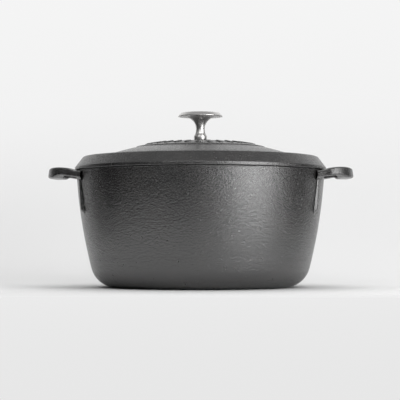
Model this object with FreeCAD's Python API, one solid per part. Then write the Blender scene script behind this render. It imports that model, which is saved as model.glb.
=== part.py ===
"""Round cast iron dutch oven: a pot with two loop handles, and a lift-off domed lid with a steel knob.

Millimetres, +Z up. The origin is the centre of the flat base, and the handles lie along X.
Heights named *_rise are measured up from the rim, the flat top of the pot that the lid rests on.
"""

import FreeCAD, Part
import math
import os

V = FreeCAD.Vector
UP = V(0, 0, 1)
ORIGIN = V(0, 0, 0)

# ---- pot ----
RIM_RADIUS = 135.0  # outside of the wall at the rim
POT_HEIGHT = 126.4
WALL = 4.0
FLOOR = 5.0
RIM_DRAFT = 3.1  # degrees that the outside leans at the rim
WALL_SWEEP = 535.0  # radius of the wall's outward bow, seen from the side
HEEL_RADIUS = 27.5  # outside corner between wall and base
INNER_HEEL_RADIUS = 23.0
RIM_EDGE = 1.2  # rounding of the rim's outer edge
RIM_INNER_EDGE = 0.8

# ---- loop handles ----
HANDLE_REACH = 31.4  # from the rim's outside to the grip's outside
HANDLE_HALF_SPAN = 44.0  # from the middle of the loop to the middle of an arm's root
GRIP_WIDTH = 15.5
GRIP_TOP_RISE = 1.6  # at the middle of the grip
GRIP_DEPTH = 10.0
GRIP_HALF_LENGTH = 22.0  # from its middle to its corner
CORNER_LIFT = 1.4  # how much higher the grip's top is at its corners
ARM_WIDTH = 10.5
ARM_DEPTH = 8.9
ARM_TOP_RISE = 1.6
ROOT_WIDTH = 17.0
ROOT_DEPTH = 7.8
ROOT_TOP_RISE = -1.0  # the arm's top at the wall, under the lid's lip
HANDLE_DRAFT = 0.14  # sideways lean of the loop's sides, per millimetre of depth
HANDLE_ROUNDING = 2.4

# ---- support ribs under the arms ----
RIB_ANGLE = 20.5  # degrees from the X axis
RIB_TOP = 9.0  # below the rim, inside the arm
RIB_LENGTH = 35.0
RIB_STAND_TOP = 1.5  # how far the crest stands out of the wall
RIB_STAND_FOOT = 2.9
RIB_CREST = 1.8  # width of the crest
RIB_FLANK = 0.75  # sideways spread of a rib's side, per millimetre that it stands out

# ---- lid ----
LID_OVERHANG = 1.5  # from the pot's rim out to the lip
LID_RADIUS = RIM_RADIUS + LID_OVERHANG
LID_WALL = 4.2
LIP_HEIGHT = 3.3
LIP_TOP_ROUNDING = 0.8
LIP_FOOT_ROUNDING = 0.7
SKIRT_RUN = 8.9  # how far in the sloping skirt comes
SHOULDER_RADIUS = LID_RADIUS - SKIRT_RUN
SHOULDER_RISE = 14.9
LEDGE_PITCH = 0.03  # rise of the ledge inside the shoulder, per millimetre inwards
LEDGE_WIDTH = 22.2586  # from the shoulder in to the dome's foot
DOME_RISE = 33.0
SHOULDER_FILLET = 3.0
DOME_FILLET = 10.0
BAND_INNER = 38.0  # raised band round the knob
BAND_OUTER = 70.6
BAND_RAISE = 0.8
BAND_ROUNDING = 0.4
SPIGOT_DEPTH = 5.0  # ring under the lid that drops inside the rim
SPIGOT_WALL = 3.8
SPIGOT_CLEARANCE = 1.0
SPIGOT_ROUNDING = 1.2
SPIGOT_THROAT = 1.5  # how far above the rim the spigot's inside starts to spread
HAUNCH_FILLET = 4.0
KNOB_SEAT_RADIUS = 9.0
KNOB_SEAT_RAISE = 0.25
INNER_BOSS_RADIUS = 11.0
INNER_BOSS_DROP = 0.6
STUD_RINGS = ((32.0, 8), (56.0, 14), (80.0, 20))  # basting studs: ring radius, how many
STUD_BASE_RADIUS = 3.6
STUD_TIP_RADIUS = 1.6
STUD_DROP = 4.5

# ---- raised dashes on the band ----
DASH_COUNT = 30
DASH_LENGTH = 12.0
DASH_WIDTH = 5.0
DASH_RAISE = 0.9
DASH_CORNER = 1.6

# ---- knob ----
KNOB_RADIUS = 24.3
KNOB_HEIGHT = 31.0
KNOB_FOOT_RADIUS = 6.5
KNOB_BEAD_RADIUS = 7.2
KNOB_BEAD_HEIGHT = 3.3  # of the bead's widest place
KNOB_WAIST_RADIUS = 4.8
KNOB_WAIST_HEIGHT = 12.5
KNOB_FLARE = 13.6  # radius of the hollow sweep from foot to disc
KNOB_BEVEL = 3.7  # width of the bevel round the disc's top
KNOB_CROWN = 0.7  # how far the disc's top is domed
KNOB_EDGE = 0.35
KNOB_BEAD_TAPER = 1.5  # how far below twice the bead's height the stem's sweep starts
KNOB_BEVEL_ROUNDING = 1.5

# ---- screw and washers, an M6 set ----
THREAD_RADIUS = 3.0
THREAD_CLEARANCE = 0.05
LID_HOLE_CLEARANCE = 0.3
LID_HOLE_RADIUS = THREAD_RADIUS + LID_HOLE_CLEARANCE
THREAD_POINT_ROUNDING = 0.6
THREAD_ENGAGEMENT = 12.0
TAP_RUNOUT = 2.0
HEAD_RADIUS = 6.0
HEAD_HEIGHT = 3.6
HEAD_ROUNDING = 2.2
RECESS_LENGTH = 6.4
RECESS_WIDTH = 1.3
RECESS_DEPTH = 2.2
WASHER_RADIUS = 6.2
WASHER_CLEARANCE = 0.2
WASHER_HOLE_RADIUS = THREAD_RADIUS + WASHER_CLEARANCE
WASHER_THICKNESS = 1.6
SPRING_WASHER_RADIUS = 5.9
SPRING_WASHER_CLEARANCE = 0.05
SPRING_WASHER_HOLE_RADIUS = THREAD_RADIUS + SPRING_WASHER_CLEARANCE
SPRING_WASHER_THICKNESS = 1.6
SPRING_WASHER_SPLIT = 0.9
SPRING_WASHER_SLANT = 20.0  # degrees that the split leans


def line(a, b):
    """A straight edge of an outline in the XZ plane, from (radius, height) a to b."""
    return Part.LineSegment(V(a[0], 0, a[1]), V(b[0], 0, b[1])).toShape()


def arc(a, through, b):
    """A round edge of an outline in the XZ plane."""
    return Part.Arc(V(a[0], 0, a[1]), V(through[0], 0, through[1]), V(b[0], 0, b[1])).toShape()


def turned(edges):
    """The solid that a closed outline makes when it is turned about the Z axis."""
    wire = Part.Wire(Part.__sortEdges__(edges))
    return Part.Face(wire).revolve(ORIGIN, UP, 360)


def circles_at(shape, radius, height, slack=0.02):
    """The round edges of a turned solid at that radius and height."""
    found = []
    for edge in shape.Edges:
        if edge.Degenerated or not isinstance(edge.Curve, Part.Circle):
            continue
        curve = edge.Curve
        if abs(curve.Radius - radius) < slack and abs(curve.Center.z - height) < slack:
            found.append(edge)
    return found


def eased(shape, roundings):
    """The shape with round edges filleted: roundings lists (radius, height, fillet)."""
    for radius, height, fillet in roundings:
        shape = shape.makeFillet(fillet, circles_at(shape, radius, height))
    return shape


def ring(outer, inner, bottom, thickness):
    """A flat ring about the Z axis."""
    disc = Part.makeCylinder(outer, thickness, V(0, 0, bottom))
    return disc.cut(Part.makeCylinder(inner, thickness, V(0, 0, bottom)))


# ---------------------------------------------------------------- pot


def wall_centre():
    """Centre of the wall's bow, as (radius, height)."""
    lean = math.radians(RIM_DRAFT)
    return RIM_RADIUS - WALL_SWEEP * math.cos(lean), POT_HEIGHT + WALL_SWEEP * math.sin(lean)


def wall_radius(height, depth=0.0):
    """Radius of the wall at a height, that deep under its outside."""
    centre_r, centre_z = wall_centre()
    return centre_r + math.sqrt((WALL_SWEEP - depth) ** 2 - (height - centre_z) ** 2)


def heel(depth, floor, radius):
    """Where the corner between wall and floor starts and ends, and its middle, on a surface that deep."""
    centre_r, centre_z = wall_centre()
    z = floor + radius
    r = centre_r + math.sqrt((WALL_SWEEP - depth - radius) ** 2 - (z - centre_z) ** 2)
    out = math.atan2(z - centre_z, r - centre_r)
    middle = (out - math.pi / 2) / 2
    top = (r + radius * math.cos(out), z + radius * math.sin(out))
    half = (r + radius * math.cos(middle), z + radius * math.sin(middle))
    return (r, floor), half, top


def wall_arc(top_height, bottom, depth):
    """The wall's bowed line from a height down to the point where the corner starts."""
    top = (wall_radius(top_height, depth), top_height)
    middle_z = (top_height + bottom[1]) / 2
    return top, arc(top, (wall_radius(middle_z, depth), middle_z), bottom)


def filled_bowl():
    """The pot's outside as a turned solid: flat base, heel, bowed wall and rim."""
    flat, half, top = heel(0, 0, HEEL_RADIUS)
    rim, outside = wall_arc(POT_HEIGHT, top, 0)
    body = turned(
        [
            line((0, 0), flat),
            arc(flat, half, top),
            outside,
            line(rim, (0, POT_HEIGHT)),
            line((0, POT_HEIGHT), (0, 0)),
        ]
    )
    return eased(body, [(rim[0], POT_HEIGHT, RIM_EDGE)])


def cavity():
    """The hollow that is taken out of the filled bowl, opening softly at the rim."""
    flat, half, top = heel(WALL, FLOOR, INNER_HEEL_RADIUS)
    brow = POT_HEIGHT - RIM_INNER_EDGE
    mouth, inside = wall_arc(brow, top, WALL)
    lip = (mouth[0] + RIM_INNER_EDGE, POT_HEIGHT)
    bend = (1 - math.sqrt(0.5)) * RIM_INNER_EDGE
    above = POT_HEIGHT + WALL
    return turned(
        [
            line((0, FLOOR), flat),
            arc(flat, half, top),
            inside,
            arc(mouth, (mouth[0] + bend, POT_HEIGHT - bend), lip),
            line(lip, (lip[0], above)),
            line((lip[0], above), (0, above)),
            line((0, above), (0, FLOOR)),
        ]
    )


def bar_section(x, y, heading, width, top, depth):
    """An upright section of the loop's bar: a tapered, round-cornered bar end on, square to its heading.

    heading is the way that the bar runs, in degrees from +X; top is measured from the rim.
    """
    turn = math.radians(heading)
    across = V(math.sin(turn), -math.cos(turn), 0)
    half_top = width / 2 - HANDLE_DRAFT * depth / 2
    half_foot = width / 2
    corners = [(half_top, top), (-half_top, top), (-half_foot, top - depth), (half_foot, top - depth)]
    points = [V(x, y, POT_HEIGHT + rise) + across * side for side, rise in corners]
    edges = []
    for index, corner in enumerate(points):
        before, after = points[index - 1], points[(index + 1) % 4]
        back = (before - corner).normalize()
        on = (after - corner).normalize()
        start, end = corner + back * HANDLE_ROUNDING, corner + on * HANDLE_ROUNDING
        bulge = corner + (back + on) * HANDLE_ROUNDING * (1 - math.sqrt(0.5))
        edges.append(Part.Arc(start, bulge, end).toShape())
        edges.append(Part.LineSegment(end, after - on * HANDLE_ROUNDING).toShape())
    return Part.Wire(edges)


def handle():
    """The loop at +X: two arms out of the wall and the deeper grip bar between them."""
    grip_x = RIM_RADIUS + HANDLE_REACH - GRIP_WIDTH / 2
    root_turn = math.asin(HANDLE_HALF_SPAN / RIM_RADIUS)
    corner_y = (GRIP_HALF_LENGTH + HANDLE_HALF_SPAN) / 2
    lift = CORNER_LIFT

    def rooted(out, along, lean):
        """Place and heading of a station measured out from the wall, and along it, at the arm's root."""
        spot = V(RIM_RADIUS + out, along, 0)
        x = spot.x * math.cos(root_turn) - spot.y * math.sin(root_turn)
        y = spot.x * math.sin(root_turn) + spot.y * math.cos(root_turn)
        return x, y, math.degrees(root_turn) + lean

    half = [
        # x, y, heading, width, top, depth
        (grip_x, 0, 90, GRIP_WIDTH, GRIP_TOP_RISE, GRIP_DEPTH),
        (grip_x - 1.2, GRIP_HALF_LENGTH / 2, 97, GRIP_WIDTH, GRIP_TOP_RISE + lift / 2, GRIP_DEPTH + lift / 2),
        (grip_x - 5.0, GRIP_HALF_LENGTH, 120, GRIP_WIDTH - 1.5, GRIP_TOP_RISE + lift, GRIP_DEPTH + lift),
        (grip_x - 10.5, corner_y - 4.0, 146, ARM_WIDTH + 1.0, GRIP_TOP_RISE + lift, ARM_DEPTH + 0.4),
        (*rooted(7.466, -12.094, 129.979), ARM_WIDTH, ARM_TOP_RISE, ARM_DEPTH),
        (*rooted(1.549, -3.178, 127.979), (ARM_WIDTH + ROOT_WIDTH) / 2, ROOT_TOP_RISE, ROOT_DEPTH - 0.4),
        (*rooted(-5.477, 5.590, 127.979), ROOT_WIDTH, ROOT_TOP_RISE - 1.0, ROOT_DEPTH),
        (*rooted(-12.975, 14.522, 127.979), ROOT_WIDTH, ROOT_TOP_RISE - 1.0, ROOT_DEPTH),
    ]
    other = [(x, -y, 180 - heading, *rest) for x, y, heading, *rest in half[:0:-1]]
    sections = [bar_section(*station) for station in other + half]
    return Part.makeLoft(sections, True, False)


def rib(angle):
    """A tapering support rib under an arm: a narrow crest, leaning sides and a sloping foot."""

    def section(below_rim, stand):
        z = POT_HEIGHT - below_rim
        base = wall_radius(z, WALL / 2)
        crest = wall_radius(z) + stand
        spread = RIB_CREST / 2 + RIB_FLANK * (crest - base)
        corners = [(crest, RIB_CREST / 2), (base, spread), (base, -spread), (crest, -RIB_CREST / 2)]
        return Part.makePolygon([V(r, t, z) for r, t in corners + corners[:1]])

    top = section(RIB_TOP, RIB_STAND_TOP)
    foot = section(RIB_TOP + RIB_LENGTH, RIB_STAND_FOOT)
    toe = section(RIB_TOP + RIB_LENGTH + RIB_STAND_FOOT, 0.0)
    shape = Part.makeLoft([top, foot], True, True).fuse(Part.makeLoft([foot, toe], True, True))
    shape.rotate(ORIGIN, UP, angle)
    return shape


def pot():
    """The pot as one casting: bowl, both handles and the four ribs under them."""
    right = handle()
    left = right.mirror(ORIGIN, V(1, 0, 0))
    angles = (RIB_ANGLE, -RIB_ANGLE, 180 - RIB_ANGLE, 180 + RIB_ANGLE)
    outside = filled_bowl().fuse([right, left] + [rib(angle) for angle in angles])
    return outside.cut(cavity()).removeSplitter()


# ---------------------------------------------------------------- lid


def dome_radius():
    """Radius of the ball that the dome is cut from: it passes the crown and the dome's foot."""
    foot = SHOULDER_RADIUS - LEDGE_WIDTH
    climb = DOME_RISE - SHOULDER_RISE - LEDGE_PITCH * LEDGE_WIDTH
    return (foot**2 + climb**2) / (2 * climb)


def dome_height(radius, raise_by=0.0):
    """Height of the dome's outside at a radius, raised or sunk square to it."""
    ball = dome_radius() + raise_by
    return POT_HEIGHT + DOME_RISE - dome_radius() + math.sqrt(ball**2 - radius**2)


def dome_arc(start, end, raise_by=0.0):
    """The dome's outline between two radii."""
    middle = (start + end) / 2
    ends = [(r, dome_height(r, raise_by)) for r in (start, middle, end)]
    return arc(*ends)


def ledge_height(radius, drop=0.0):
    return POT_HEIGHT + SHOULDER_RISE + LEDGE_PITCH * (SHOULDER_RADIUS - radius) - drop


def meeting_radius(drop):
    """Where the dome runs out into the ledge, on the surface that far under the outside."""
    low, high = BAND_OUTER, SHOULDER_RADIUS
    for _ in range(60):
        middle = (low + high) / 2
        if dome_height(middle, -drop) > ledge_height(middle, drop):
            low = middle
        else:
            high = middle
    return low


def knob_seat_height():
    return POT_HEIGHT + DOME_RISE + KNOB_SEAT_RAISE


def boss_height():
    """Underside of the lid's middle, where the washer bears."""
    return POT_HEIGHT + DOME_RISE - LID_WALL - INNER_BOSS_DROP


def lid_shell():
    """The lid's turned body, outside then inside."""
    rim = POT_HEIGHT
    seat = knob_seat_height()
    band = [(r, dome_height(r, up)) for r, up in ((BAND_INNER, 0), (BAND_INNER, BAND_RAISE))]
    edge = [(r, dome_height(r, up)) for r, up in ((BAND_OUTER, BAND_RAISE), (BAND_OUTER, 0))]
    seat_foot = (KNOB_SEAT_RADIUS, dome_height(KNOB_SEAT_RADIUS))
    meet, inner_meet = meeting_radius(0), meeting_radius(LID_WALL)
    shoulder = (SHOULDER_RADIUS, ledge_height(SHOULDER_RADIUS))
    spigot_outer = wall_radius(POT_HEIGHT, WALL) - SPIGOT_CLEARANCE
    spigot_inner = spigot_outer - SPIGOT_WALL
    throat = (spigot_inner, rim + SPIGOT_THROAT)
    haunch_radius = SHOULDER_RADIUS - 2 * LID_WALL
    haunch = (haunch_radius, ledge_height(haunch_radius, LID_WALL))
    boss = boss_height()
    shell = turned(
        [
            line((LID_HOLE_RADIUS, seat), (KNOB_SEAT_RADIUS, seat)),
            line((KNOB_SEAT_RADIUS, seat), seat_foot),
            dome_arc(KNOB_SEAT_RADIUS, BAND_INNER),
            line(*band),
            dome_arc(BAND_INNER, BAND_OUTER, BAND_RAISE),
            line(*edge),
            dome_arc(BAND_OUTER, meet),
            line((meet, ledge_height(meet)), shoulder),
            line(shoulder, (LID_RADIUS, rim + LIP_HEIGHT)),
            line((LID_RADIUS, rim + LIP_HEIGHT), (LID_RADIUS, rim)),
            line((LID_RADIUS, rim), (spigot_outer, rim)),
            line((spigot_outer, rim), (spigot_outer, rim - SPIGOT_DEPTH)),
            line((spigot_outer, rim - SPIGOT_DEPTH), (spigot_inner, rim - SPIGOT_DEPTH)),
            line((spigot_inner, rim - SPIGOT_DEPTH), throat),
            line(throat, haunch),
            line(haunch, (inner_meet, ledge_height(inner_meet, LID_WALL))),
            dome_arc(inner_meet, INNER_BOSS_RADIUS, -LID_WALL),
            line(
                (INNER_BOSS_RADIUS, dome_height(INNER_BOSS_RADIUS, -LID_WALL)),
                (INNER_BOSS_RADIUS, boss),
            ),
            line((INNER_BOSS_RADIUS, boss), (LID_HOLE_RADIUS, boss)),
            line((LID_HOLE_RADIUS, boss), (LID_HOLE_RADIUS, seat)),
        ]
    )
    return eased(
        shell,
        [
            (SHOULDER_RADIUS, shoulder[1], SHOULDER_FILLET),
            (meet, ledge_height(meet), DOME_FILLET),
            (LID_RADIUS, rim + LIP_HEIGHT, LIP_TOP_ROUNDING),
            (LID_RADIUS, rim, LIP_FOOT_ROUNDING),
            (spigot_outer, rim - SPIGOT_DEPTH, SPIGOT_ROUNDING),
            (spigot_inner, rim - SPIGOT_DEPTH, SPIGOT_ROUNDING),
            (haunch[0], haunch[1], HAUNCH_FILLET),
            (BAND_INNER, band[1][1], BAND_ROUNDING),
            (BAND_OUTER, edge[0][1], BAND_ROUNDING),
        ],
    )


def basting_studs():
    """Blunt cones under the dome, in rings, that drip condensate back into the pot."""
    studs = []
    for ring_radius, count in STUD_RINGS:
        root = dome_height(ring_radius, -LID_WALL / 2)
        tip = dome_height(ring_radius, -LID_WALL) - STUD_DROP
        for index in range(count):
            turn = 2 * math.pi * index / count
            place = V(ring_radius * math.cos(turn), ring_radius * math.sin(turn), root)
            studs.append(
                Part.makeCone(STUD_BASE_RADIUS, STUD_TIP_RADIUS, root - tip, place, -UP)
            )
    return studs


def band_dashes():
    """Plain raised dashes round the band, each pointing at the knob."""
    middle = (BAND_INNER + BAND_OUTER) / 2
    bottom = dome_height(middle + DASH_LENGTH / 2) - BAND_RAISE
    ball_centre = V(0, 0, POT_HEIGHT + DOME_RISE - dome_radius())
    cap = Part.makeSphere(dome_radius() + BAND_RAISE + DASH_RAISE, ball_centre)
    dashes = []
    for index in range(DASH_COUNT):
        bar = Part.makeBox(
            DASH_LENGTH,
            DASH_WIDTH,
            3 * (BAND_RAISE + DASH_RAISE) + DASH_LENGTH,
            V(middle - DASH_LENGTH / 2, -DASH_WIDTH / 2, bottom),
        )
        uprights = [e for e in bar.Edges if e.tangentAt(0).isParallel(UP, 0.01)]
        bar = bar.makeFillet(DASH_CORNER, uprights)
        bar = bar.common(cap)
        bar.rotate(ORIGIN, UP, 360 * (index + 0.5) / DASH_COUNT)
        dashes.append(bar)
    return dashes


def lid():
    """The lid as one casting."""
    return lid_shell().fuse(basting_studs() + band_dashes())


# ---------------------------------------------------------------- knob and its fastening


def lid_knob():
    """Turned steel knob: foot bead, hollow stem and bevelled disc, with a blind tapped hole."""
    z0 = knob_seat_height()
    sweep = (KNOB_WAIST_RADIUS + KNOB_FLARE, z0 + KNOB_WAIST_HEIGHT)
    bead_top = z0 + 2 * KNOB_BEAD_HEIGHT - KNOB_BEAD_TAPER
    drop = sweep[1] - bead_top
    stem_foot = (sweep[0] - math.sqrt(KNOB_FLARE**2 - drop**2), bead_top)
    under = z0 + KNOB_WAIST_HEIGHT + KNOB_FLARE
    top = z0 + KNOB_HEIGHT
    bevel_radius = KNOB_RADIUS - KNOB_BEVEL
    bore = THREAD_RADIUS + THREAD_CLEARANCE
    bore_end = z0 + THREAD_ENGAGEMENT + TAP_RUNOUT
    brim = under + KNOB_EDGE
    bead = arc((KNOB_FOOT_RADIUS, z0), (KNOB_BEAD_RADIUS, z0 + KNOB_BEAD_HEIGHT), stem_foot)
    knob = turned(
        [
            line((bore, z0), (KNOB_FOOT_RADIUS, z0)),
            bead,
            arc(stem_foot, (KNOB_WAIST_RADIUS, sweep[1]), (sweep[0], under)),
            line((sweep[0], under), (KNOB_RADIUS, under)),
            line((KNOB_RADIUS, under), (KNOB_RADIUS, brim + KNOB_EDGE)),
            line((KNOB_RADIUS, brim + KNOB_EDGE), (bevel_radius, top - KNOB_CROWN)),
            arc(
                (bevel_radius, top - KNOB_CROWN),
                (bevel_radius / 2, top - KNOB_CROWN / 4),
                (0, top),
            ),
            line((0, top), (0, bore_end)),
            line((0, bore_end), (bore, bore_end)),
            line((bore, bore_end), (bore, z0)),
        ]
    )
    return eased(
        knob,
        [
            (KNOB_RADIUS, under, KNOB_EDGE * 0.9),
            (KNOB_RADIUS, brim + KNOB_EDGE, KNOB_EDGE * 0.9),
            (bevel_radius, top - KNOB_CROWN, KNOB_BEVEL_ROUNDING),
        ],
    )


def flat_washer():
    return ring(WASHER_RADIUS, WASHER_HOLE_RADIUS, boss_height() - WASHER_THICKNESS, WASHER_THICKNESS)


def spring_washer():
    """Split ring under the flat washer, drawn tightened flat."""
    bottom = boss_height() - WASHER_THICKNESS - SPRING_WASHER_THICKNESS
    washer = ring(
        SPRING_WASHER_RADIUS, SPRING_WASHER_HOLE_RADIUS, bottom, SPRING_WASHER_THICKNESS
    )
    split = Part.makeBox(
        2 * SPRING_WASHER_RADIUS,
        SPRING_WASHER_SPLIT,
        4 * SPRING_WASHER_THICKNESS,
        V(0, -SPRING_WASHER_SPLIT / 2, bottom - 1.5 * SPRING_WASHER_THICKNESS),
    )
    split.rotate(V(0, 0, bottom + SPRING_WASHER_THICKNESS / 2), V(1, 0, 0), SPRING_WASHER_SLANT)
    return washer.cut(split)


def knob_screw():
    """Pan-head screw from under the lid into the knob, with a cross recess."""
    head_top = boss_height() - WASHER_THICKNESS - SPRING_WASHER_THICKNESS
    head_bottom = head_top - HEAD_HEIGHT
    head = Part.makeCylinder(HEAD_RADIUS, HEAD_HEIGHT, V(0, 0, head_bottom))
    head = eased(head, [(HEAD_RADIUS, head_bottom, HEAD_ROUNDING)])
    for turn in (0, 90):
        slot = Part.makeBox(
            RECESS_LENGTH,
            RECESS_WIDTH,
            RECESS_DEPTH,
            V(-RECESS_LENGTH / 2, -RECESS_WIDTH / 2, head_bottom),
        )
        slot.rotate(ORIGIN, UP, turn)
        head = head.cut(slot)
    length = knob_seat_height() + THREAD_ENGAGEMENT - head_top
    shank = Part.makeCylinder(THREAD_RADIUS, length, V(0, 0, head_top))
    shank = eased(shank, [(THREAD_RADIUS, head_top + length, THREAD_POINT_ROUNDING)])
    return head.fuse(shank).removeSplitter()


NODES = {
    "pot": pot,
    "lid": lid,
    "lid_knob": lid_knob,
    "knob_screw": knob_screw,
    "flat_washer": flat_washer,
    "spring_washer": spring_washer,
}


def main():
    os.makedirs("parts", exist_ok=True)
    for name, make in NODES.items():
        shape = make()
        print(name, "solids", len(shape.Solids), "volume", round(shape.Volume), "valid", shape.isValid())
        shape.exportStep(f"parts/{name}.step")


main()
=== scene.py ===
import math

import bmesh
import bpy
import numpy as np
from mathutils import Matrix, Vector, noise


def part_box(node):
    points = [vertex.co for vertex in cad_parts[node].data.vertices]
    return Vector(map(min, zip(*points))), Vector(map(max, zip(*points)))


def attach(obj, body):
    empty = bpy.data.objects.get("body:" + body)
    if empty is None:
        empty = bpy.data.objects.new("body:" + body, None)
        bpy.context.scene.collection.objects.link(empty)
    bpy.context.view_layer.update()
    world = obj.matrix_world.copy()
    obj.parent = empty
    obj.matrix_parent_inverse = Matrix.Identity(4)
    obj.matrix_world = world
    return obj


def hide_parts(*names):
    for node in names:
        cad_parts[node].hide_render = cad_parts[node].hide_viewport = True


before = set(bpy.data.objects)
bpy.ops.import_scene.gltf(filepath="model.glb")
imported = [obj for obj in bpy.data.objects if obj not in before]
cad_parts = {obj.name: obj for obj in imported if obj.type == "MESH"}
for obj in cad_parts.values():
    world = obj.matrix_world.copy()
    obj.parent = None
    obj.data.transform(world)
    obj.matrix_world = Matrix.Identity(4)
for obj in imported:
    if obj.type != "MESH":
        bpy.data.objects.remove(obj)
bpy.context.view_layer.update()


# ---------------------------------------------------------------- pot
# The pot is one iron casting: a bowl with bowed, leaning sides and a flat ground rim, a loop
# handle cast on at each end, and a pair of tapering ribs that carry each loop. Oil baked on in
# layers leaves the sand-cast skin nearly black, pebbled and faintly glossy.

pot_low, pot_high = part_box("pot")
lid_low, lid_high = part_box("lid")

SPIGOT_DEPTH = 0.005
RIM_RADIUS = pot_high.y
RIM_HEIGHT = lid_low.z + SPIGOT_DEPTH
WALL = 0.004
FLOOR = 0.005
WALL_SWEEP = 0.535  # radius of the wall's outward bow, seen from the side
RIM_DRAFT = math.radians(3.1)
HEEL_RADIUS = 0.0275
INNER_HEEL_RADIUS = 0.023
RIM_EDGE = 0.0012
RIM_INNER_EDGE = 0.0008

sweep_radius = RIM_RADIUS - WALL_SWEEP * math.cos(RIM_DRAFT)
sweep_height = RIM_HEIGHT + WALL_SWEEP * math.sin(RIM_DRAFT)


def wall_radius(height, depth=0.0):
    """Radius of the bowed wall at a height, that deep under its outside."""
    return sweep_radius + np.sqrt((WALL_SWEEP - depth) ** 2 - (height - sweep_height) ** 2)


def heel_points(depth, floor, radius):
    """The round corner from the flat up to the wall, on the surface that deep, as sharp corners."""
    z = floor + radius
    r = sweep_radius + math.sqrt((WALL_SWEEP - depth - radius) ** 2 - (z - sweep_height) ** 2)
    up = math.atan2(z - sweep_height, r - sweep_radius)
    turns = np.linspace(-math.pi / 2, up, 15)
    return [(r + radius * math.cos(a), z + radius * math.sin(a), 0) for a in turns]


def drawn(corners, gap, closed=False):
    """A turned piece's outline: (radius, height, rounding) corners, joined by steps of gap or less."""
    points = []
    for index, (r, z, rounding) in enumerate(corners):
        corner = Vector((r, z))
        if not rounding:
            points.append(corner)
            continue
        back = (Vector(corners[index - 1][:2]) - corner).normalized()
        on = (Vector(corners[(index + 1) % len(corners)][:2]) - corner).normalized()
        half = back.angle(on) / 2
        centre = corner + (back + on).normalized() * rounding / math.sin(half)
        start = corner + back * rounding / math.tan(half) - centre
        end = corner + on * rounding / math.tan(half) - centre
        sweep = start.angle(end)
        steps = max(2, math.ceil(sweep / math.radians(15)))
        for step in range(steps + 1):
            a, b = math.sin(sweep * (1 - step / steps)), math.sin(sweep * step / steps)
            points.append(centre + (start * a + end * b) / math.sin(sweep))
    outline = []
    last = len(points) if closed else len(points) - 1
    for index in range(last):
        a, b = points[index], points[(index + 1) % len(points)]
        steps = max(1, math.ceil((b - a).length / gap))
        outline += [a.lerp(b, step / steps) for step in range(steps)]
    if not closed:
        outline.append(points[-1])
    return np.array([(p.x, p.y) for p in outline])


def turned(outline, turns):
    """Points of an outline turned about the Z axis, as rows of one outline point each."""
    r, z = outline[:, 0:1], outline[:, 1:2]
    return np.stack([r * np.cos(turns), r * np.sin(turns), z + 0 * turns], axis=2)


def grid_faces(rows, columns, first, wrap_rows):
    """Quads over a grid of points whose columns close on themselves."""
    faces = []
    for row in range(rows if wrap_rows else rows - 1):
        for column in range(columns):
            a, b = row * columns, (row + 1) % rows * columns
            on = (column + 1) % columns
            faces.append((first + a + column, first + a + on, first + b + on, first + b + column))
    return faces


def casting(name, grids, smooth_angle=math.radians(40)):
    """One closed mesh object from (points, wrap_rows, cap_ends) grids, with its faces outward."""
    points, faces = [], []
    first = 0
    for grid, wrap_rows, cap_ends in grids:
        rows, columns = grid.shape[:2]
        points.append(grid.reshape(-1, 3))
        faces += grid_faces(rows, columns, first, wrap_rows)
        if cap_ends:
            faces.append(tuple(range(first, first + columns)))
            faces.append(tuple(range(first + (rows - 1) * columns, first + rows * columns)))
        first += rows * columns
    mesh = bpy.data.meshes.new(name)
    mesh.from_pydata(np.concatenate(points).tolist(), [], faces)
    shape = bmesh.new()
    shape.from_mesh(mesh)
    bmesh.ops.remove_doubles(shape, verts=shape.verts, dist=1e-6)
    bmesh.ops.dissolve_degenerate(shape, edges=shape.edges, dist=1e-7)
    bmesh.ops.recalc_face_normals(shape, faces=shape.faces)
    shape.to_mesh(mesh)
    shape.free()
    mesh.polygons.foreach_set("use_smooth", [True] * len(mesh.polygons))
    mesh.set_sharp_from_angle(angle=smooth_angle)
    piece = bpy.data.objects.new(name, mesh)
    bpy.context.scene.collection.objects.link(piece)
    return piece


# The ribs grow out of the wall, so they are raised in the bowl's own surface.
RIB_TURN = math.radians(20.5)
RIB_TOP = 0.009
RIB_LENGTH = 0.035
RIB_STAND_TOP = 0.0015
RIB_STAND_FOOT = 0.0029
RIB_CREST = 0.0018
RIB_FLANK = 0.75
RIB_SOFTNESS = 0.0002
rib_turns = [RIB_TURN, math.pi - RIB_TURN, math.pi + RIB_TURN, 2 * math.pi - RIB_TURN]


def rib_stand(below_rim, across):
    """How far a rib stands out of the wall: its crest, its leaning sides and its sloping foot."""
    along = np.clip((below_rim - RIB_TOP) / RIB_LENGTH, 0, 1)
    crest = RIB_STAND_TOP + (RIB_STAND_FOOT - RIB_STAND_TOP) * along
    past_foot = np.maximum(0, below_rim - RIB_TOP - RIB_LENGTH)
    above_top = np.maximum(0, RIB_TOP - below_rim)
    ends = crest - past_foot - 2 * above_top
    side = crest - (np.abs(across) - RIB_CREST / 2) / RIB_FLANK
    soft = RIB_SOFTNESS
    lower = np.minimum(ends, side) - soft * np.log1p(np.exp(-np.abs(ends - side) / soft))
    return soft * np.log1p(np.exp(np.clip(lower / soft, -40, 40)))


near_rib = np.concatenate([np.linspace(-0.045, 0.045, 23) + turn for turn in rib_turns])
plain = np.linspace(0, 2 * math.pi, 288, endpoint=False)
clear = np.min(np.abs(plain[:, None] - np.array(rib_turns)[None, :]), axis=1) > 0.052
columns = np.sort(np.concatenate([plain[clear], near_rib]))

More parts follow.
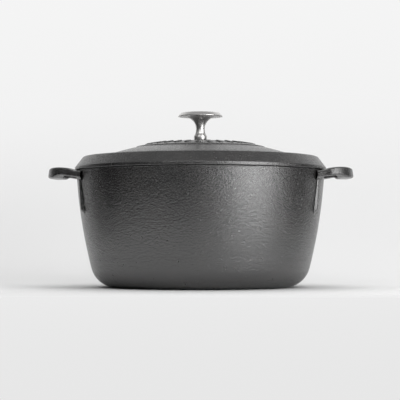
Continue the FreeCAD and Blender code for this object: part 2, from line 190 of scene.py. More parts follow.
wall_foot = heel_points(0, 0, HEEL_RADIUS)
inner_foot = heel_points(WALL, FLOOR, INNER_HEEL_RADIUS)
outer_heights = np.linspace(wall_foot[-1][1], RIM_HEIGHT, 46)[1:-1]
inner_heights = np.linspace(RIM_HEIGHT, inner_foot[-1][1], 30)[1:-1]
outside = [(0, 0, 0), (0.02, 0, 0)] + wall_foot + [(wall_radius(z), z, 0) for z in outer_heights]
inside = [(wall_radius(z, WALL), z, 0) for z in inner_heights]
rim = [
    (wall_radius(RIM_HEIGHT), RIM_HEIGHT, RIM_EDGE),
    (wall_radius(RIM_HEIGHT, WALL), RIM_HEIGHT, RIM_INNER_EDGE),
]
pot_outline = drawn(outside + rim + inside + inner_foot[::-1] + [(0.02, FLOOR, 0), (0, FLOOR, 0)], 0.009)
bowl = turned(pot_outline, columns)


def lumpy(points, normals, depth, size, seed):
    """The slow unevenness of a sand mould: points sunk along their normals by up to that depth."""
    flat = points.reshape(-1, 3)
    shift = Vector((seed, 0.7 * seed, 0.3 * seed))
    sunk = [depth * (0.5 + 0.5 * noise.noise(Vector(p) / size + shift)) for p in flat]
    return points - normals * np.array(sunk).reshape(points.shape[:-1] + (1,))


radial = np.sqrt(bowl[..., 0] ** 2 + bowl[..., 1] ** 2)
outward = np.stack([np.cos(columns), np.sin(columns), 0 * columns], axis=1)[None, :, :]
on_outside = (radial > wall_radius(np.minimum(bowl[..., 2], RIM_HEIGHT), 0.0006)) & (bowl[..., 2] > 0.03)
on_outside &= bowl[..., 2] < RIM_HEIGHT - RIM_EDGE
stand = np.zeros(radial.shape)
for turn in rib_turns:
    across = (columns - turn) * RIM_RADIUS
    stand = np.maximum(stand, rib_stand(RIM_HEIGHT - bowl[..., 2], across[None, :]))
bowl = bowl + outward * (stand * on_outside)[..., None]
bowl = np.where(on_outside[..., None], lumpy(bowl, outward, 0.00022, 0.022, 3.0), bowl)

# Each loop is drawn through stations from its middle to its root, which ends inside the wall.
HANDLE_REACH = 0.0314
HANDLE_HALF_SPAN = 0.044
GRIP_WIDTH = 0.0155
GRIP_TOP = 0.0016
GRIP_DEPTH = 0.010
GRIP_HALF_LENGTH = 0.022
CORNER_LIFT = 0.0014
ARM_WIDTH = 0.0105
ARM_DEPTH = 0.0089
ARM_TOP = 0.0016
ROOT_WIDTH = 0.017
ROOT_DEPTH = 0.0078
ROOT_TOP = -0.001
HANDLE_DRAFT = 0.14
HANDLE_ROUNDING = 0.0024
ROOT_FILLET = 0.0032
grip_x = RIM_RADIUS + HANDLE_REACH - GRIP_WIDTH / 2
root_x = math.sqrt(RIM_RADIUS**2 - HANDLE_HALF_SPAN**2)
root_y = HANDLE_HALF_SPAN
corner_y = (GRIP_HALF_LENGTH + root_y) / 2
half_loop = [
    # x, y, heading, width, top, depth
    (grip_x, 0, 90, GRIP_WIDTH, GRIP_TOP, GRIP_DEPTH),
    (grip_x - 0.0012, GRIP_HALF_LENGTH / 2, 97,
     GRIP_WIDTH, GRIP_TOP + CORNER_LIFT / 2, GRIP_DEPTH + CORNER_LIFT / 2),
    (grip_x - 0.005, GRIP_HALF_LENGTH, 120,
     GRIP_WIDTH - 0.0015, GRIP_TOP + CORNER_LIFT, GRIP_DEPTH + CORNER_LIFT),
    (grip_x - 0.0105, corner_y - 0.004, 146, ARM_WIDTH + 0.001, GRIP_TOP + CORNER_LIFT, ARM_DEPTH + 0.0004),
    (root_x + 0.011, corner_y + 0.002, 149, ARM_WIDTH, ARM_TOP, ARM_DEPTH),
    (root_x + 0.0025, root_y - 0.0025, 147, (ARM_WIDTH + ROOT_WIDTH) / 2, ROOT_TOP, ROOT_DEPTH - 0.0004),
    (root_x - 0.007, root_y + 0.0035, 147, ROOT_WIDTH, ROOT_TOP - 0.001, ROOT_DEPTH),
]


def through(knots, values, places):
    """Smooth curves through rows of values at the knots, read at the places."""
    slopes = np.gradient(values, knots, axis=0)
    index = np.clip(np.searchsorted(knots, places) - 1, 0, len(knots) - 2)
    span = (knots[index + 1] - knots[index])[:, None]
    t = (places - knots[index])[:, None] / span
    start, end = values[index], values[index + 1]
    return (
        (2 * t**3 - 3 * t**2 + 1) * start
        + (t**3 - 2 * t**2 + t) * span * slopes[index]
        + (3 * t**2 - 2 * t**3) * end
        + (t**3 - t**2) * span * slopes[index + 1]
    )


def bar_section(width, depth):
    """Half-width and depth of points round the loop's bar: wider below, with round corners."""
    top = width / 2 - HANDLE_DRAFT * depth / 2
    foot = width / 2
    edge = HANDLE_ROUNDING
    corners = [
        (top - edge, -edge, 0),
        (edge - top, -edge, 90),
        (edge - foot, edge - depth, 180),
        (foot - edge, edge - depth, 270),
    ]
    rounds = [
        (across + edge * math.cos(angle), rise + edge * math.sin(angle))
        for across, rise, turn in corners
        for angle in np.radians(turn + np.linspace(0, 90, 6))
    ]
    points = []
    for index, point in enumerate(rounds):
        points.append(point)
        if index % 6 == 5:  # the end of a round corner, where a flat side starts
            ahead = rounds[(index + 1) % len(rounds)]
            points += [tuple(np.add(point, share * np.subtract(ahead, point))) for share in (0.25, 0.5, 0.75)]
    return np.array(points)


other_half = [(x, -y, 180 - heading, *rest) for x, y, heading, *rest in half_loop[:0:-1]]
stations = np.array(other_half + half_loop)
knots = np.concatenate([[0], np.cumsum(np.hypot(*np.diff(stations[:, :2], axis=0).T))])
path = through(knots, stations, np.linspace(0, knots[-1], 170))
loop = []
for x, y, heading, width, top, depth in path:
    section = bar_section(width, depth)
    side = np.array([math.sin(math.radians(heading)), -math.cos(math.radians(heading))])
    ring_x = x + section[:, 0] * side[0]
    ring_y = y + section[:, 0] * side[1]
    ring = np.column_stack([ring_x, ring_y, RIM_HEIGHT + top + section[:, 1]])
    loop.append(ring)
loop = np.array(loop)
along = np.gradient(loop, axis=0)
round_bar = np.roll(loop, -1, axis=1) - np.roll(loop, 1, axis=1)
loop_normals = np.cross(along, round_bar)
loop_normals /= np.linalg.norm(loop_normals, axis=2, keepdims=True)
middle = loop.mean(axis=1, keepdims=True)
if ((loop - middle) * loop_normals).sum() < 0:
    loop_normals = -loop_normals
reach = np.hypot(loop[..., 0], loop[..., 1])
to_wall = reach - wall_radius(loop[..., 2])
closeness = np.clip(ROOT_FILLET - to_wall, 0, ROOT_FILLET)
flare = ROOT_FILLET - np.sqrt(ROOT_FILLET**2 - closeness**2)
spread = loop_normals.copy()
spread[..., 2] = np.minimum(spread[..., 2], 0.1 * spread[..., 2])
loop = lumpy(loop, loop_normals, 0.00025, 0.012, 8.0) + spread * flare[..., None]
reach = np.hypot(loop[..., 0], loop[..., 1])
sunk_reach = wall_radius(loop[..., 2], WALL / 2)
pull = np.where(reach < sunk_reach, sunk_reach / reach, 1.0)
loop[..., 0] *= pull
loop[..., 1] *= pull
left_loop = loop * np.array([-1, 1, 1])

pot = casting("pot_casting", [(bowl, False, False), (loop, False, True), (left_loop, False, True)])


class Wire:
    """A shader socket that can stand in sums: each sum adds its Math node."""

    def __init__(self, shader, socket):
        self.shader, self.socket = shader, socket

    def sum(self, operation, *values):
        return self.shader.node("ShaderNodeMath", {"operation": operation}, dict(enumerate(values)))

    def __add__(self, other):
        return self.sum("ADD", self, other)

    __radd__ = __add__

    def __sub__(self, other):
        return self.sum("SUBTRACT", self, other)

    def __rsub__(self, other):
        return self.sum("SUBTRACT", other, self)

    def __mul__(self, other):
        return self.sum("MULTIPLY", self, other)

    __rmul__ = __mul__

    def __truediv__(self, other):
        return self.sum("DIVIDE", self, other)

    def __pow__(self, other):
        return self.sum("POWER", self, other)


class Shader:
    """A material's nodes, built up by calls to node()."""

    def __init__(self, name):
        self.material = bpy.data.materials.new(name)
        self.material.use_nodes = True
        self.tree = self.material.node_tree
        self.tree.nodes.clear()
        self.place = self.node("ShaderNodeTexCoord", output="Object")

    def node(self, kind, settings={}, sockets={}, output=0):
        made = self.tree.nodes.new(kind)
        for key, value in settings.items():
            if key == "stops":
                while len(made.color_ramp.elements) < len(value):
                    made.color_ramp.elements.new(0.5)
                for stop, (position, colour) in zip(made.color_ramp.elements, value):
                    stop.position, stop.color = position, (*colour, 1.0)
            else:
                setattr(made, key, value)
        for key, value in sockets.items():
            if isinstance(value, Wire):
                self.tree.links.new(value.socket, made.inputs[key])
            else:
                made.inputs[key].default_value = value
        return Wire(self, made.outputs[output])

    def noise(self, scale, detail=2.0, roughness=0.5, place=None):
        sockets = {"Vector": place or self.place, "Scale": scale, "Detail": detail, "Roughness": roughness}
        return self.node("ShaderNodeTexNoise", {}, sockets)

    def ramp(self, value, low, high):
        """0 below low, 1 above high and smooth between."""
        settings = {"interpolation_type": "SMOOTHSTEP"}
        return self.node("ShaderNodeMapRange", settings, {"Value": value, "From Min": low, "From Max": high})

    def mix(self, factor, a, b):
        settings = {"data_type": "RGBA"}
        sockets = {0: factor, 6: a, 7: b}
        return self.node("ShaderNodeMix", settings, sockets, output=2)

    def finish(self, **sockets):
        """The material, with a Principled surface that takes these sockets."""
        named = {key.replace("_", " "): value for key, value in sockets.items()}
        surface = self.node("ShaderNodeBsdfPrincipled", {}, named)
        self.node_out(surface)
        return self.material

    def node_out(self, surface):
        out = self.tree.nodes.new("ShaderNodeOutputMaterial")
        self.tree.links.new(surface.socket, out.inputs["Surface"])


def seasoned_iron():
    """Sand-cast iron under baked oil: pebbled, nearly black, glossier where it has built up or worn."""
    iron = Shader("seasoned_iron")
    pebbles = iron.noise(470, 3, 0.6)
    grains = iron.noise(1300, 2, 0.5)
    patches = iron.noise(38, 4, 0.6)
    streaks = iron.noise(9, 2, 0.5)
    pits = iron.ramp(iron.noise(230, 1, 0.4), 0.70, 0.80)
    edges = iron.ramp(iron.node("ShaderNodeNewGeometry", output="Pointiness"), 0.54, 0.62)
    black, brown, bare = (0.009, 0.0088, 0.0088, 1), (0.016, 0.0148, 0.0142, 1), (0.045, 0.044, 0.043, 1)
    colour = iron.mix(iron.ramp(patches, 0.38, 0.66), black, brown)
    colour = iron.mix(edges * 0.5 + iron.ramp(pebbles, 0.58, 0.75) * 0.25, colour, bare)
    roughness = 0.18 + 0.08 * patches + 0.05 * streaks + 0.08 * pits - 0.06 * edges
    height = 0.7 * pebbles + 0.4 * grains - 0.12 * pits
    bump = iron.node("ShaderNodeBump", {}, {"Strength": 1.0, "Distance": 0.00072, "Height": height})
    return iron.finish(Base_Color=colour, Roughness=roughness, Normal=bump, IOR=2.2)


iron = seasoned_iron()
pot.data.materials.append(iron)
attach(pot, "pot_body")
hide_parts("pot")


# ---------------------------------------------------------------- lid
# The lid is a second iron casting, poured thinner: a lip that lies on the rim, a sloping skirt,
# a ledge and a shallow dome with a raised band, and a ring underneath that drops inside the rim.

LID_RADIUS = lid_high.y
LID_WALL = 0.0042
LIP_HEIGHT = 0.0033
SHOULDER_RADIUS = 0.1276
SHOULDER_RISE = 0.0149
LEDGE_PITCH = 0.03
DOME_RISE = 0.033
DOME_RADIUS = 0.327
BAND_INNER = 0.038
BAND_OUTER = 0.0706
BAND_RAISE = 0.0008
SPIGOT_WALL = 0.0038
SPIGOT_CLEARANCE = 0.001
KNOB_SEAT_RADIUS = 0.009
KNOB_SEAT_RAISE = 0.00025
INNER_BOSS_RADIUS = 0.011
INNER_BOSS_DROP = 0.0006
LID_HOLE_RADIUS = 0.0033

dome_centre = RIM_HEIGHT + DOME_RISE - DOME_RADIUS
knob_seat = RIM_HEIGHT + DOME_RISE + KNOB_SEAT_RAISE
boss_height = RIM_HEIGHT + DOME_RISE - LID_WALL - INNER_BOSS_DROP


def dome_height(radius, raise_by=0.0):
    """Height of the dome's outside at a radius, raised or sunk square to it."""
    return dome_centre + np.sqrt((DOME_RADIUS + raise_by) ** 2 - radius**2)


def ledge_height(radius, drop=0.0):
    return RIM_HEIGHT + SHOULDER_RISE + LEDGE_PITCH * (SHOULDER_RADIUS - radius) - drop


def dome_points(start, end, raise_by=0.0):
    """Outline points over the dome between two radii, both ends included."""
    radii = np.linspace(start, end, max(2, math.ceil(abs(end - start) / 0.0035)))
    return [(r, dome_height(r, raise_by), 0) for r in radii]


def meeting_radius(drop):
    """Where the dome runs out into the ledge, on the surface that far under the outside."""
    radii = np.linspace(BAND_OUTER, SHOULDER_RADIUS, 4000)
    return radii[np.argmin(np.abs(dome_height(radii, -drop) - ledge_height(radii, drop)))]


def eased_dome(meet, drop, ease):
    """The dome's run-out into the ledge, blended over the ease on both sides, from dome to ledge."""
    radii = np.linspace(meet - ease, meet + ease, 9)
    share = (radii - radii[0]) / (radii[-1] - radii[0])
    share = share * share * (3 - 2 * share)
    heights = dome_height(radii, -drop) * (1 - share) + ledge_height(radii, drop) * share
    return [(r, z, 0) for r, z in zip(radii, heights)]


spigot_outer = wall_radius(RIM_HEIGHT, WALL) - SPIGOT_CLEARANCE
spigot_inner = spigot_outer - SPIGOT_WALL
haunch_radius = SHOULDER_RADIUS - 2 * LID_WALL
meet, inner_meet = meeting_radius(0), meeting_radius(LID_WALL)
DOME_EASE = 0.005
top_side = (
    [(LID_HOLE_RADIUS, knob_seat, 0), (KNOB_SEAT_RADIUS, knob_seat, 0.0002)]
    + dome_points(KNOB_SEAT_RADIUS + 0.0003, BAND_INNER - 0.0008)
    + [
        (BAND_INNER, dome_height(BAND_INNER), 0.0003),
        (BAND_INNER + 0.0003, dome_height(BAND_INNER, BAND_RAISE), 0.0004),
    ]
    + dome_points(BAND_INNER + 0.0015, BAND_OUTER - 0.0015, BAND_RAISE)
    + [
        (BAND_OUTER - 0.0003, dome_height(BAND_OUTER, BAND_RAISE), 0.0004),
        (BAND_OUTER, dome_height(BAND_OUTER), 0.0003),
    ]
    + dome_points(BAND_OUTER + 0.0012, meet - DOME_EASE - 0.001)
    + eased_dome(meet, 0, DOME_EASE)
)
lip_top = RIM_HEIGHT + LIP_HEIGHT
under_side = [
    (SHOULDER_RADIUS, ledge_height(SHOULDER_RADIUS), 0.003),
    (LID_RADIUS, lip_top, 0.0008),
    (LID_RADIUS, RIM_HEIGHT, 0.0007),
    (spigot_outer, RIM_HEIGHT, 0.0003),
    (spigot_outer, RIM_HEIGHT - SPIGOT_DEPTH, 0.0012),
    (spigot_inner, RIM_HEIGHT - SPIGOT_DEPTH, 0.0012),
    (spigot_inner, RIM_HEIGHT + 0.0015, 0.001),
    (haunch_radius, ledge_height(haunch_radius, LID_WALL), 0.004),
] + eased_dome(inner_meet, LID_WALL, DOME_EASE)[::-1]
crown = dome_points(inner_meet - DOME_EASE - 0.001, INNER_BOSS_RADIUS + 0.0003, -LID_WALL)
boss = [(INNER_BOSS_RADIUS, boss_height, 0.0003), (LID_HOLE_RADIUS, boss_height, 0)]
lid_outline = drawn(top_side + under_side + crown + boss, 0.0035, closed=True)
lid_columns = np.linspace(0, 2 * math.pi, 360, endpoint=False)
lid_shell = turned(lid_outline, lid_columns)
on_top = (lid_shell[..., 2] > lip_top + 0.001) & (np.hypot(lid_shell[..., 0], lid_shell[..., 1]) > 0.012)
up = np.array([0.0, 0.0, 1.0])
lid_shell = np.where(on_top[..., None], lumpy(lid_shell, up, 0.0002, 0.025, 14.0), lid_shell)
lid = casting("lid_casting", [(lid_shell, True, False)])
lid.data.materials.append(iron)
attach(lid, "lid_body")
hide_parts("lid")


# ---------------------------------------------------------------- raised dashes and basting studs
# Both repeat in rings and are cast with the lid: plain dashes stand on the band round the knob,
# and blunt studs hang under the dome, where steam gathers on them and drips back on the food.

DASH_COUNT = 30
DASH_LENGTH = 0.012
DASH_WIDTH = 0.005
DASH_RAISE = 0.0009
DASH_ROOT = 0.0004  # how far a dash is sunk in the band
STUD_RINGS = ((0.032, 8), (0.056, 14), (0.080, 20))
STUD_BASE_RADIUS = 0.0036
STUD_TIP_RADIUS = 0.0016
STUD_DROP = 0.0045
STUD_ROOT = 0.0008


def ring_tree():
    """Nodes that stand copies of one casting in a ring, each turned to face outwards."""
    tree = bpy.data.node_groups.new("ring_of_castings", "GeometryNodeTree")
    sockets = [
        ("Casting", "NodeSocketObject", "INPUT"),
        ("Count", "NodeSocketInt", "INPUT"),
        ("Ring Radius", "NodeSocketFloat", "INPUT"),
        ("Height", "NodeSocketFloat", "INPUT"),
        ("Tilt", "NodeSocketFloat", "INPUT"),
        ("First Turn", "NodeSocketFloat", "INPUT"),
        ("Material", "NodeSocketMaterial", "INPUT"),
        ("Geometry", "NodeSocketGeometry", "OUTPUT"),
    ]
    for name, kind, side in sockets:
        tree.interface.new_socket(name, in_out=side, socket_type=kind)
    nodes, links = tree.nodes, tree.links
    given, out = nodes.new("NodeGroupInput"), nodes.new("NodeGroupOutput")
    line = nodes.new("GeometryNodeMeshLine")
    index = nodes.new("GeometryNodeInputIndex")
    share, turn, about = nodes.new("ShaderNodeMath"), nodes.new("ShaderNodeMath"), nodes.new("ShaderNodeMath")
    share.operation, turn.operation, about.operation = "DIVIDE", "MULTIPLY", "ADD"
    turn.inputs[1].default_value = 2 * math.pi
    links.new(given.outputs["Count"], line.inputs["Count"])
    links.new(index.outputs[0], share.inputs[0])
    links.new(given.outputs["Count"], share.inputs[1])
    links.new(share.outputs[0], turn.inputs[0])
    links.new(turn.outputs[0], about.inputs[0])
    links.new(given.outputs["First Turn"], about.inputs[1])
    out_point = nodes.new("ShaderNodeCombineXYZ")
    swing = nodes.new("ShaderNodeVectorRotate")
    swing.rotation_type = "Z_AXIS"
    facing = nodes.new("ShaderNodeCombineXYZ")
    links.new(given.outputs["Ring Radius"], out_point.inputs["X"])
    links.new(given.outputs["Height"], out_point.inputs["Z"])
    links.new(out_point.outputs[0], swing.inputs["Vector"])
    links.new(about.outputs[0], swing.inputs["Angle"])
    links.new(given.outputs["Tilt"], facing.inputs["Y"])
    links.new(about.outputs[0], facing.inputs["Z"])
    place = nodes.new("GeometryNodeSetPosition")
    source = nodes.new("GeometryNodeObjectInfo")
    stand = nodes.new("GeometryNodeInstanceOnPoints")
    whole, coat = nodes.new("GeometryNodeRealizeInstances"), nodes.new("GeometryNodeSetMaterial")
    links.new(line.outputs[0], place.inputs["Geometry"])
    links.new(swing.outputs[0], place.inputs["Position"])
    links.new(given.outputs["Casting"], source.inputs["Object"])
    links.new(place.outputs[0], stand.inputs["Points"])
    links.new(source.outputs["Geometry"], stand.inputs["Instance"])
    links.new(facing.outputs[0], stand.inputs["Rotation"])
    links.new(stand.outputs[0], whole.inputs[0])
    links.new(whole.outputs[0], coat.inputs["Geometry"])
    links.new(given.outputs["Material"], coat.inputs["Material"])
    links.new(coat.outputs[0], out.inputs[0])
    return tree


rings = ring_tree()


def ring_of(casting_piece, **inputs):
    """A plain mesh of the ring that the tree makes from a casting with these inputs."""
    holder = bpy.data.objects.new("ring", bpy.data.meshes.new("ring"))
    bpy.context.scene.collection.objects.link(holder)
    stack = holder.modifiers.new("ring", "NODES")
    stack.node_group = rings
    named = {key.replace("_", " "): value for key, value in inputs.items()}
    inputs = {"Casting": casting_piece, "Material": iron, **named}
    for item in rings.interface.items_tree:
        if item.in_out == "INPUT":
            stack[item.identifier] = inputs[item.name]
    seen = holder.evaluated_get(bpy.context.evaluated_depsgraph_get())
    mesh = bpy.data.meshes.new_from_object(seen)
    bpy.data.objects.remove(holder)
    return mesh


def one_mesh(name, meshes):
    """A finished object from several plain meshes."""
    shape = bmesh.new()
    for mesh in meshes:
        shape.from_mesh(mesh)
    joined = bpy.data.meshes.new(name)
    shape.to_mesh(joined)
    shape.free()
    joined.materials.append(iron)
    joined.polygons.foreach_set("use_smooth", [True] * len(joined.polygons))
    piece = bpy.data.objects.new(name, joined)
    bpy.context.scene.collection.objects.link(piece)
    return piece


def dash_casting():
    """One dash along X, its top rounded over and its foot flared into the band."""
    rings_up = [(0.0006, -DASH_ROOT), (0.0006, 0.0), (0.00012, 0.00012), (0.0, 0.00035)]
    rings_up += [(-0.00005, 0.00062), (-0.0003, 0.00084), (-0.0008, DASH_RAISE), (-0.0018, DASH_RAISE)]
    corner = 0.0016
    rows = []
    for grow, rise in rings_up:
        half_long, half_wide = DASH_LENGTH / 2 + grow, DASH_WIDTH / 2 + grow
        edge = max(0.0003, corner + grow)
        ring = []
        for sx, sy, first in ((1, 1, 0), (-1, 1, 90), (-1, -1, 180), (1, -1, 270)):
            for degrees in (0, 30, 60, 90):
                a = math.radians(first + degrees)
                x = sx * (half_long - edge) + edge * math.cos(a)
                y = sy * (half_wide - edge) + edge * math.sin(a)
                ring.append((x, y, rise))
        rows.append(ring)
    return casting("dash_pattern", [(np.array(rows), False, True)])


def stud_casting():
    """One blunt stud that hangs down from the origin, its foot flared into the dome."""
    foot = [(STUD_BASE_RADIUS + 0.0016, STUD_ROOT), (STUD_BASE_RADIUS + 0.0014, 0.0)]
    side = [(STUD_BASE_RADIUS + 0.0004, -0.0004), (STUD_BASE_RADIUS, -0.0011), (0.0024, -0.0031)]
    tip = [(STUD_TIP_RADIUS + 0.0002, -0.0039), (STUD_TIP_RADIUS - 0.0004, -STUD_DROP + 0.0001)]
    profile = foot + side + tip + [(0.0, -STUD_DROP)]
    stud = turned(np.array(profile), np.linspace(0, 2 * math.pi, 18, endpoint=False))
    return casting("stud_pattern", [(stud, False, False)])


dash_pattern, stud_pattern = dash_casting(), stud_casting()
dash_ring = (BAND_INNER + BAND_OUTER) / 2
dash_mesh = ring_of(
    dash_pattern,
    Count=DASH_COUNT,
    Ring_Radius=dash_ring,
    Height=float(dome_height(dash_ring, BAND_RAISE)),
    Tilt=math.asin(dash_ring / DOME_RADIUS),
    First_Turn=math.pi / DASH_COUNT,
)
stud_meshes = [
    ring_of(
        stud_pattern,
        Count=count,
        Ring_Radius=radius,
        Height=float(dome_height(radius, -LID_WALL)),
        Tilt=0.0,
        First_Turn=0.0,
    )
    for radius, count in STUD_RINGS
]
bpy.data.objects.remove(dash_pattern)
bpy.data.objects.remove(stud_pattern)
for piece in (one_mesh("lid_dashes", [dash_mesh]), one_mesh("lid_studs", stud_meshes)):
    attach(piece, "lid_body")


# ---------------------------------------------------------------- knob
# The knob is turned from stainless bar: a round foot, a waisted stem that sweeps out into a thin
# disc, and a bevelled, faintly crowned top. It is polished, with fine turning marks left on it.

knob_low, knob_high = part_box("lid_knob")
KNOB_RADIUS = knob_high.x
KNOB_HEIGHT = knob_high.z - knob_low.z
KNOB_FOOT_RADIUS = 0.0065
KNOB_BEAD_RADIUS = 0.0072
KNOB_BEAD_HEIGHT = 0.0033
KNOB_WAIST_RADIUS = 0.0048
KNOB_WAIST_HEIGHT = 0.0125
KNOB_FLARE = 0.0136
KNOB_BEVEL = 0.0037
KNOB_CROWN = 0.0007
KNOB_EDGE = 0.00035


def three_point_arc(a, b, c, steps):
    """Points on the circle through three (radius, height) points, from a to c."""
    (ax, ay), (bx, by), (cx, cy) = a, b, c
    d = 2 * (ax * (by - cy) + bx * (cy - ay) + cx * (ay - by))
    ux = ((ax**2 + ay**2) * (by - cy) + (bx**2 + by**2) * (cy - ay) + (cx**2 + cy**2) * (ay - by)) / d
    uy = ((ax**2 + ay**2) * (cx - bx) + (bx**2 + by**2) * (ax - cx) + (cx**2 + cy**2) * (bx - ax)) / d
    turns = np.unwrap([math.atan2(y - uy, x - ux) for x, y in (a, b, c)])
    radius = math.hypot(ax - ux, ay - uy)
    sweep = np.linspace(turns[0], turns[2], steps)
    return [(ux + radius * math.cos(t), uy + radius * math.sin(t), 0) for t in sweep]


foot_z = knob_low.z
sweep_r, sweep_z = KNOB_WAIST_RADIUS + KNOB_FLARE, foot_z + KNOB_WAIST_HEIGHT
bead_top = foot_z + 2 * KNOB_BEAD_HEIGHT - 0.0015
stem_foot = (sweep_r - math.sqrt(KNOB_FLARE**2 - (sweep_z - bead_top) ** 2), bead_top)
under = sweep_z + KNOB_FLARE
bevel_radius = KNOB_RADIUS - KNOB_BEVEL
foot = (KNOB_FOOT_RADIUS, foot_z)
bead = (KNOB_BEAD_RADIUS, foot_z + KNOB_BEAD_HEIGHT)
knob_corners = (
    [(0, foot_z, 0), (0.002, foot_z, 0)]
    + three_point_arc(foot, bead, stem_foot, 14)
    + three_point_arc(stem_foot, (KNOB_WAIST_RADIUS, sweep_z), (sweep_r, under), 30)[1:]
    + [
        (KNOB_RADIUS, under, KNOB_EDGE * 0.9),
        (KNOB_RADIUS, under + 2 * KNOB_EDGE, KNOB_EDGE * 0.9),
        (bevel_radius, knob_high.z - KNOB_CROWN, 0.0015),
        (bevel_radius / 2, knob_high.z - KNOB_CROWN / 4, 0.02),
        (0.0002, knob_high.z, 0),
        (0, knob_high.z, 0),
    ]
)
knob_turns = np.linspace(0, 2 * math.pi, 160, endpoint=False)
knob_surface = turned(drawn(knob_corners, 0.0009), knob_turns)
knob = casting("lid_knob_turned", [(knob_surface, False, False)])


def polished_steel():
    """Stainless with the lathe's fine rings, a little finger grease and hairline scratches."""
    steel = Shader("polished_stainless")
    split = steel.node("ShaderNodeSeparateXYZ", {}, {"Vector": steel.place})
    x, y = split, Wire(steel, split.socket.node.outputs["Y"])
    z = Wire(steel, split.socket.node.outputs["Z"])
    radius = (x * x + y * y) ** 0.5
    rings = steel.node("ShaderNodeTexNoise", {"noise_dimensions": "2D"}, {
        "Vector": steel.node("ShaderNodeCombineXYZ", {}, {"X": radius * 3200, "Y": z * 3200}),
        "Scale": 1.0,
        "Detail": 3.0,
    })
    smears = steel.noise(160, 3, 0.6)
    hairlines = steel.ramp(steel.noise(5200, 2, 0.7), 0.62, 0.7)
    colour = steel.mix(smears, (0.80, 0.79, 0.775, 1), (0.88, 0.87, 0.855, 1))
    roughness = 0.33 + 0.09 * smears + 0.06 * rings + 0.05 * hairlines
    height = rings * 0.8 + hairlines * 0.3
    bump = steel.node("ShaderNodeBump", {}, {"Strength": 0.12, "Distance": 0.00006, "Height": height})
    return steel.finish(Base_Color=colour, Metallic=1.0, Roughness=roughness, Normal=bump)


knob.data.materials.append(polished_steel())
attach(knob, "lid_body")
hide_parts("lid_knob")


# ---------------------------------------------------------------- knob fastening
# An M6 pan head screw goes up through a plain washer and a split spring washer into the knob.
# All three are zinc plated steel, dulled and blotched by heat and steam.


def zinc_plate():
    """Bright zinc gone cloudy, with a fine rolled grain."""
    zinc = Shader("zinc_plated_steel")
    clouds = zinc.noise(420, 4, 0.65)
    spangle = zinc.node("ShaderNodeTexVoronoi", {"feature": "F1"}, {"Vector": zinc.place, "Scale": 1500.0})
    stain = zinc.ramp(zinc.noise(210, 3, 0.6), 0.58, 0.72)
    colour = zinc.mix(clouds, (0.46, 0.47, 0.48, 1), (0.60, 0.61, 0.61, 1))
    colour = zinc.mix(stain * 0.6, colour, (0.25, 0.20, 0.15, 1))
    roughness = 0.28 + 0.16 * clouds + 0.15 * stain
    height = 0.6 * clouds + 0.4 * spangle
    bump = zinc.node("ShaderNodeBump", {}, {"Strength": 0.2, "Distance": 0.00008, "Height": height})
    return zinc.finish(Base_Color=colour, Metallic=0.9, Roughness=roughness, Normal=bump)


zinc = zinc_plate()
for node in ("knob_screw", "flat_washer", "spring_washer"):
    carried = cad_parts[node]
    carried.data.materials.clear()
    carried.data.materials.append(zinc)


# ---------------------------------------------------------------- studio
# A pale paper strip lies on a small table and sweeps up into a wider backdrop, in a dark room,
# with a broad softbox to the right in front. The strip's front is nearly black to light and to
# reflections, and looks pale only because it glows for the camera.

TABLE_FRONT = -1.45
TABLE_EDGE = -0.38  # in front of this the paper is nearly black, except to the camera
TABLE_HALF_WIDTH = 0.36
BACKDROP_HALF_WIDTH = 1.6
SWEEP_START = 0.15
SWEEP_CURVE = 1.5
BACKDROP_TOP = 2.6
profile = [(y, 0.0) for y in (TABLE_FRONT, -0.5, SWEEP_START)]
for angle in np.linspace(0, math.pi / 2, 49)[1:]:
    profile.append((SWEEP_START + SWEEP_CURVE * math.sin(angle), SWEEP_CURVE * (1 - math.cos(angle))))
profile.append((SWEEP_START + SWEEP_CURVE, BACKDROP_TOP))
sweep_points = []
for y, z in profile:
    spread = min(1, max(0, (y - SWEEP_START) / (0.6 * SWEEP_CURVE)))
    half_width = TABLE_HALF_WIDTH + (BACKDROP_HALF_WIDTH - TABLE_HALF_WIDTH) * spread
    sweep_points += [(-half_width, y, z), (half_width, y, z)]
sweep_faces = [(2 * i, 2 * i + 1, 2 * i + 3, 2 * i + 2) for i in range(len(profile) - 1)]
sweep_mesh = bpy.data.meshes.new("sweep")
sweep_mesh.from_pydata(sweep_points, [], sweep_faces)
sweep_mesh.polygons.foreach_set("use_smooth", [True] * len(sweep_mesh.polygons))
sweep = bpy.data.objects.new("sweep", sweep_mesh)
bpy.context.scene.collection.objects.link(sweep)

# Away from the oven the camera sees the paper's glow rather than its lit colour, so that no lamp falloff
# shows; the glow carries painted shade instead, graded darker towards the front and the bottom.
PAPER_PAINTED_FALLOFF = [(0.0, 0.80), (0.3, 0.84), (0.55, 0.875), (1.0, 0.93)]
paper = Shader("paper")
apart = paper.node("ShaderNodeSeparateXYZ", {}, {"Vector": paper.place}).socket.node.outputs
x, y, z = (Wire(paper, apart[axis]) for axis in "XYZ")
share = paper.node("ShaderNodeMapRange", {}, {"Value": y + z * 1.2, "From Min": -1.1, "From Max": 2.6})
stops = [(position, (level, level, level)) for position, level in PAPER_PAINTED_FALLOFF]
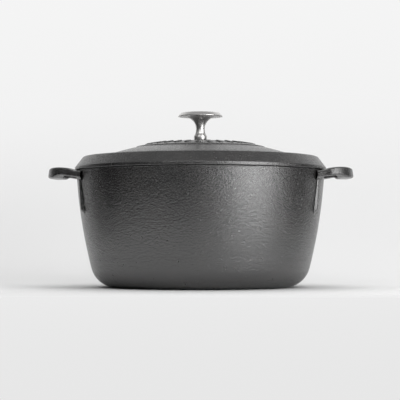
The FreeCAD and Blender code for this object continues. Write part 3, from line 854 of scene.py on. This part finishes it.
# painted shade: the glow the camera sees runs from 0.93 at the back and top down to 0.80 at the front and
# bottom
painted_falloff_glow = paper.node("ShaderNodeValToRGB", {"stops": stops}, {"Fac": share})
lit_share = paper.ramp(y, TABLE_EDGE - 0.05, TABLE_EDGE + 0.07)
lit_colour = paper.mix(lit_share, (0.07, 0.07, 0.07, 1), (0.72, 0.72, 0.72, 1))
lit = paper.node("ShaderNodeBsdfDiffuse", {}, {"Color": lit_colour})
glow = paper.node("ShaderNodeEmission", {}, {"Color": painted_falloff_glow, "Strength": 1.0})
rays = paper.node("ShaderNodeLightPath").socket.node.outputs
far_off = paper.ramp((x * x + y * y) ** 0.5 + z * 0.6, 0.6, 1.3)
in_front = paper.ramp(y * -1, 0.17, 0.31)
away = far_off.sum("MAXIMUM", far_off, in_front)
behind = paper.ramp(y, 0.3, 0.8)
glowing = away * Wire(paper, rays["Is Camera Ray"]) + behind * Wire(paper, rays["Is Glossy Ray"])
sheet = paper.node("ShaderNodeMixShader", {}, {0: glowing, 1: lit, 2: glow})
# From behind or below, the sheet is clear to the camera, so that it never hides the oven.
back = Wire(paper, paper.node("ShaderNodeNewGeometry").socket.node.outputs["Backfacing"])
clear = paper.node("ShaderNodeBsdfTransparent")
seen_back = back * Wire(paper, rays["Is Camera Ray"])
paper.node_out(paper.node("ShaderNodeMixShader", {}, {0: seen_back, 1: sheet, 2: clear}))
sweep.data.materials.append(paper.material)

ROOM_LOW = 0.04
ROOM_HIGH = 0.30
room = bpy.data.worlds.new("room")
bpy.context.scene.world = room
room.use_nodes = True
room_nodes, room_links = room.node_tree.nodes, room.node_tree.links
direction = room_nodes.new("ShaderNodeTexCoord")
height_of = room_nodes.new("ShaderNodeSeparateXYZ")
climb = room_nodes.new("ShaderNodeMapRange")
climb.interpolation_type = "SMOOTHSTEP"
climb.inputs["From Min"].default_value = 0.08
climb.inputs["From Max"].default_value = 0.6
climb.inputs["To Min"].default_value = ROOM_LOW
climb.inputs["To Max"].default_value = ROOM_HIGH
room_links.new(direction.outputs["Generated"], height_of.inputs[0])
room_links.new(height_of.outputs["Z"], climb.inputs["Value"])
room_links.new(climb.outputs[0], room_nodes["Background"].inputs["Strength"])
room_nodes["Background"].inputs["Color"].default_value = (1, 1, 1, 1)


def softbox(name, place, target, width, height, watts, mirrored=True):
    """An area lamp at a place, turned to a target, that polished things show or don't."""
    data = bpy.data.lights.new(name, "AREA")
    data.shape = "RECTANGLE"
    data.size, data.size_y = width, height
    data.energy = watts
    lamp = bpy.data.objects.new(name, data)
    lamp.location = place
    lamp.rotation_euler = (Vector(target) - Vector(place)).to_track_quat("-Z", "Y").to_euler()
    lamp.visible_glossy = mirrored
    bpy.context.scene.collection.objects.link(lamp)


KEY_TURN = math.radians(48.5)
KEY_DISTANCE = 1.3
key_place = (KEY_DISTANCE * math.sin(KEY_TURN), -KEY_DISTANCE * math.cos(KEY_TURN), 0.30)
softbox("key", key_place, (0, 0, 0.12), 0.72, 1.3, 14.5)
softbox("overhead", (0, 0.3, 1.9), (0, 0.3, 0), 2.0, 2.0, 31, mirrored=False)
softbox("fill", (-0.3, -1.5, 1.15), (0, -0.1, 0.1), 1.4, 0.5, 6)

# The camera stands a little above the table and looks slightly up, with the right handle nearer.
CAMERA_TURN = math.radians(2.2)
CAMERA_DISTANCE = 1.548
CAMERA_HEIGHT = 0.050
camera_data = bpy.data.cameras.new("camera")
camera_data.sensor_width = 36
camera_data.lens = 127.8
camera = bpy.data.objects.new("camera", camera_data)
camera_x = CAMERA_DISTANCE * math.sin(CAMERA_TURN)
camera_y = -CAMERA_DISTANCE * math.cos(CAMERA_TURN)
camera.location = (camera_x, camera_y, CAMERA_HEIGHT)
aim = Vector((-0.0005, 0, 0.0948))
camera.rotation_euler = (aim - camera.location).to_track_quat("-Z", "Y").to_euler()
bpy.context.scene.collection.objects.link(camera)
bpy.context.scene.camera = camera
bpy.context.scene.view_settings.view_transform = "Standard"
